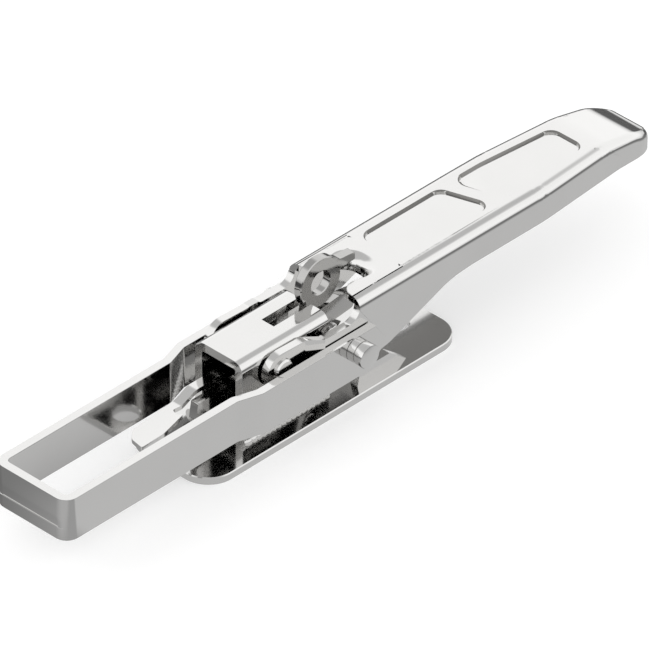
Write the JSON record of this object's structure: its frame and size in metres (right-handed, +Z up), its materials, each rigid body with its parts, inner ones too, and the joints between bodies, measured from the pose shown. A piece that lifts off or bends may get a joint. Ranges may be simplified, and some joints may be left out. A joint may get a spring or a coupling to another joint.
{
  "type": "over centre toggle latch",
  "caption": "Over centre toggle latch: a pressed lever pulls a strap loop shut over a channel housing on a screw-down plate, with a thumb-released safety catch and a padlock eye.",
  "frame": {"origin": "underside of the base plate, on its centre line, below the front face of the channel housing", "axes": "+X along the latch towards the lever's free end (the loop reaches to -X), +Y across it, +Z up from the mounting face"},
  "size_m": [0.252, 0.049, 0.0444],
  "materials": {
    "plate_steel": "bright rolled stainless sheet",
    "housing_steel": "bright polished stainless sheet",
    "lever_steel": "bright polished stainless pressing",
    "strap_steel": "satin stainless strap",
    "pin_steel": "turned stainless bar",
    "catch_steel": "tumbled stainless blanking",
    "spring_steel": "drawn stainless spring wire",
    "weld_steel": "pickled weld bead"
  },
  "bodies": {
    "base": {"base_plate": "plate_steel", "channel_housing": "housing_steel", "stop_lug_near": "plate_steel", "stop_lug_far": "plate_steel", "channel_weld_near": "weld_steel", "channel_weld_far": "weld_steel", "lug_weld_near": "weld_steel", "lug_weld_far": "weld_steel", "catch_pin": "pin_steel", "catch_spacer_near": "pin_steel", "catch_spacer_far": "pin_steel", "catch_spring": "spring_steel"},
    "lever": {"lever": "lever_steel", "lever_pin": "pin_steel", "bail_stud_near": "pin_steel", "bail_stud_far": "pin_steel", "bail_stud_washer_near": "pin_steel", "bail_stud_washer_far": "pin_steel"},
    "bail": {"bail": "strap_steel"},
    "safety_catch": {"safety_catch": "catch_steel", "thumb_tab": "catch_steel"}
  },
  "joints": [
    {"name": "lever_pivot", "type": "hinge", "parent": "base", "child": "lever", "pos_m": [0.014, 0, 0.0235], "axis": [0, -1, 0], "range_deg": [0, 135]},
    {"name": "bail_pivot", "type": "hinge", "parent": "lever", "child": "bail", "pos_m": [0.04, 0, 0.0203], "axis": [0, -1, 0], "range_deg": [-121.5, 0]},
    {"name": "catch_pivot", "type": "hinge", "parent": "base", "child": "safety_catch", "pos_m": [0.029, 0, 0.01], "axis": [0, -1, 0], "range_deg": [-4.5, 4], "stiffness_Nm_per_rad": 0.4, "deforming": ["catch_spring"]}
  ],
  "couplings": [
    {"joint": "bail_pivot", "follows": "lever_pivot", "ratio": -0.9}
  ]
}
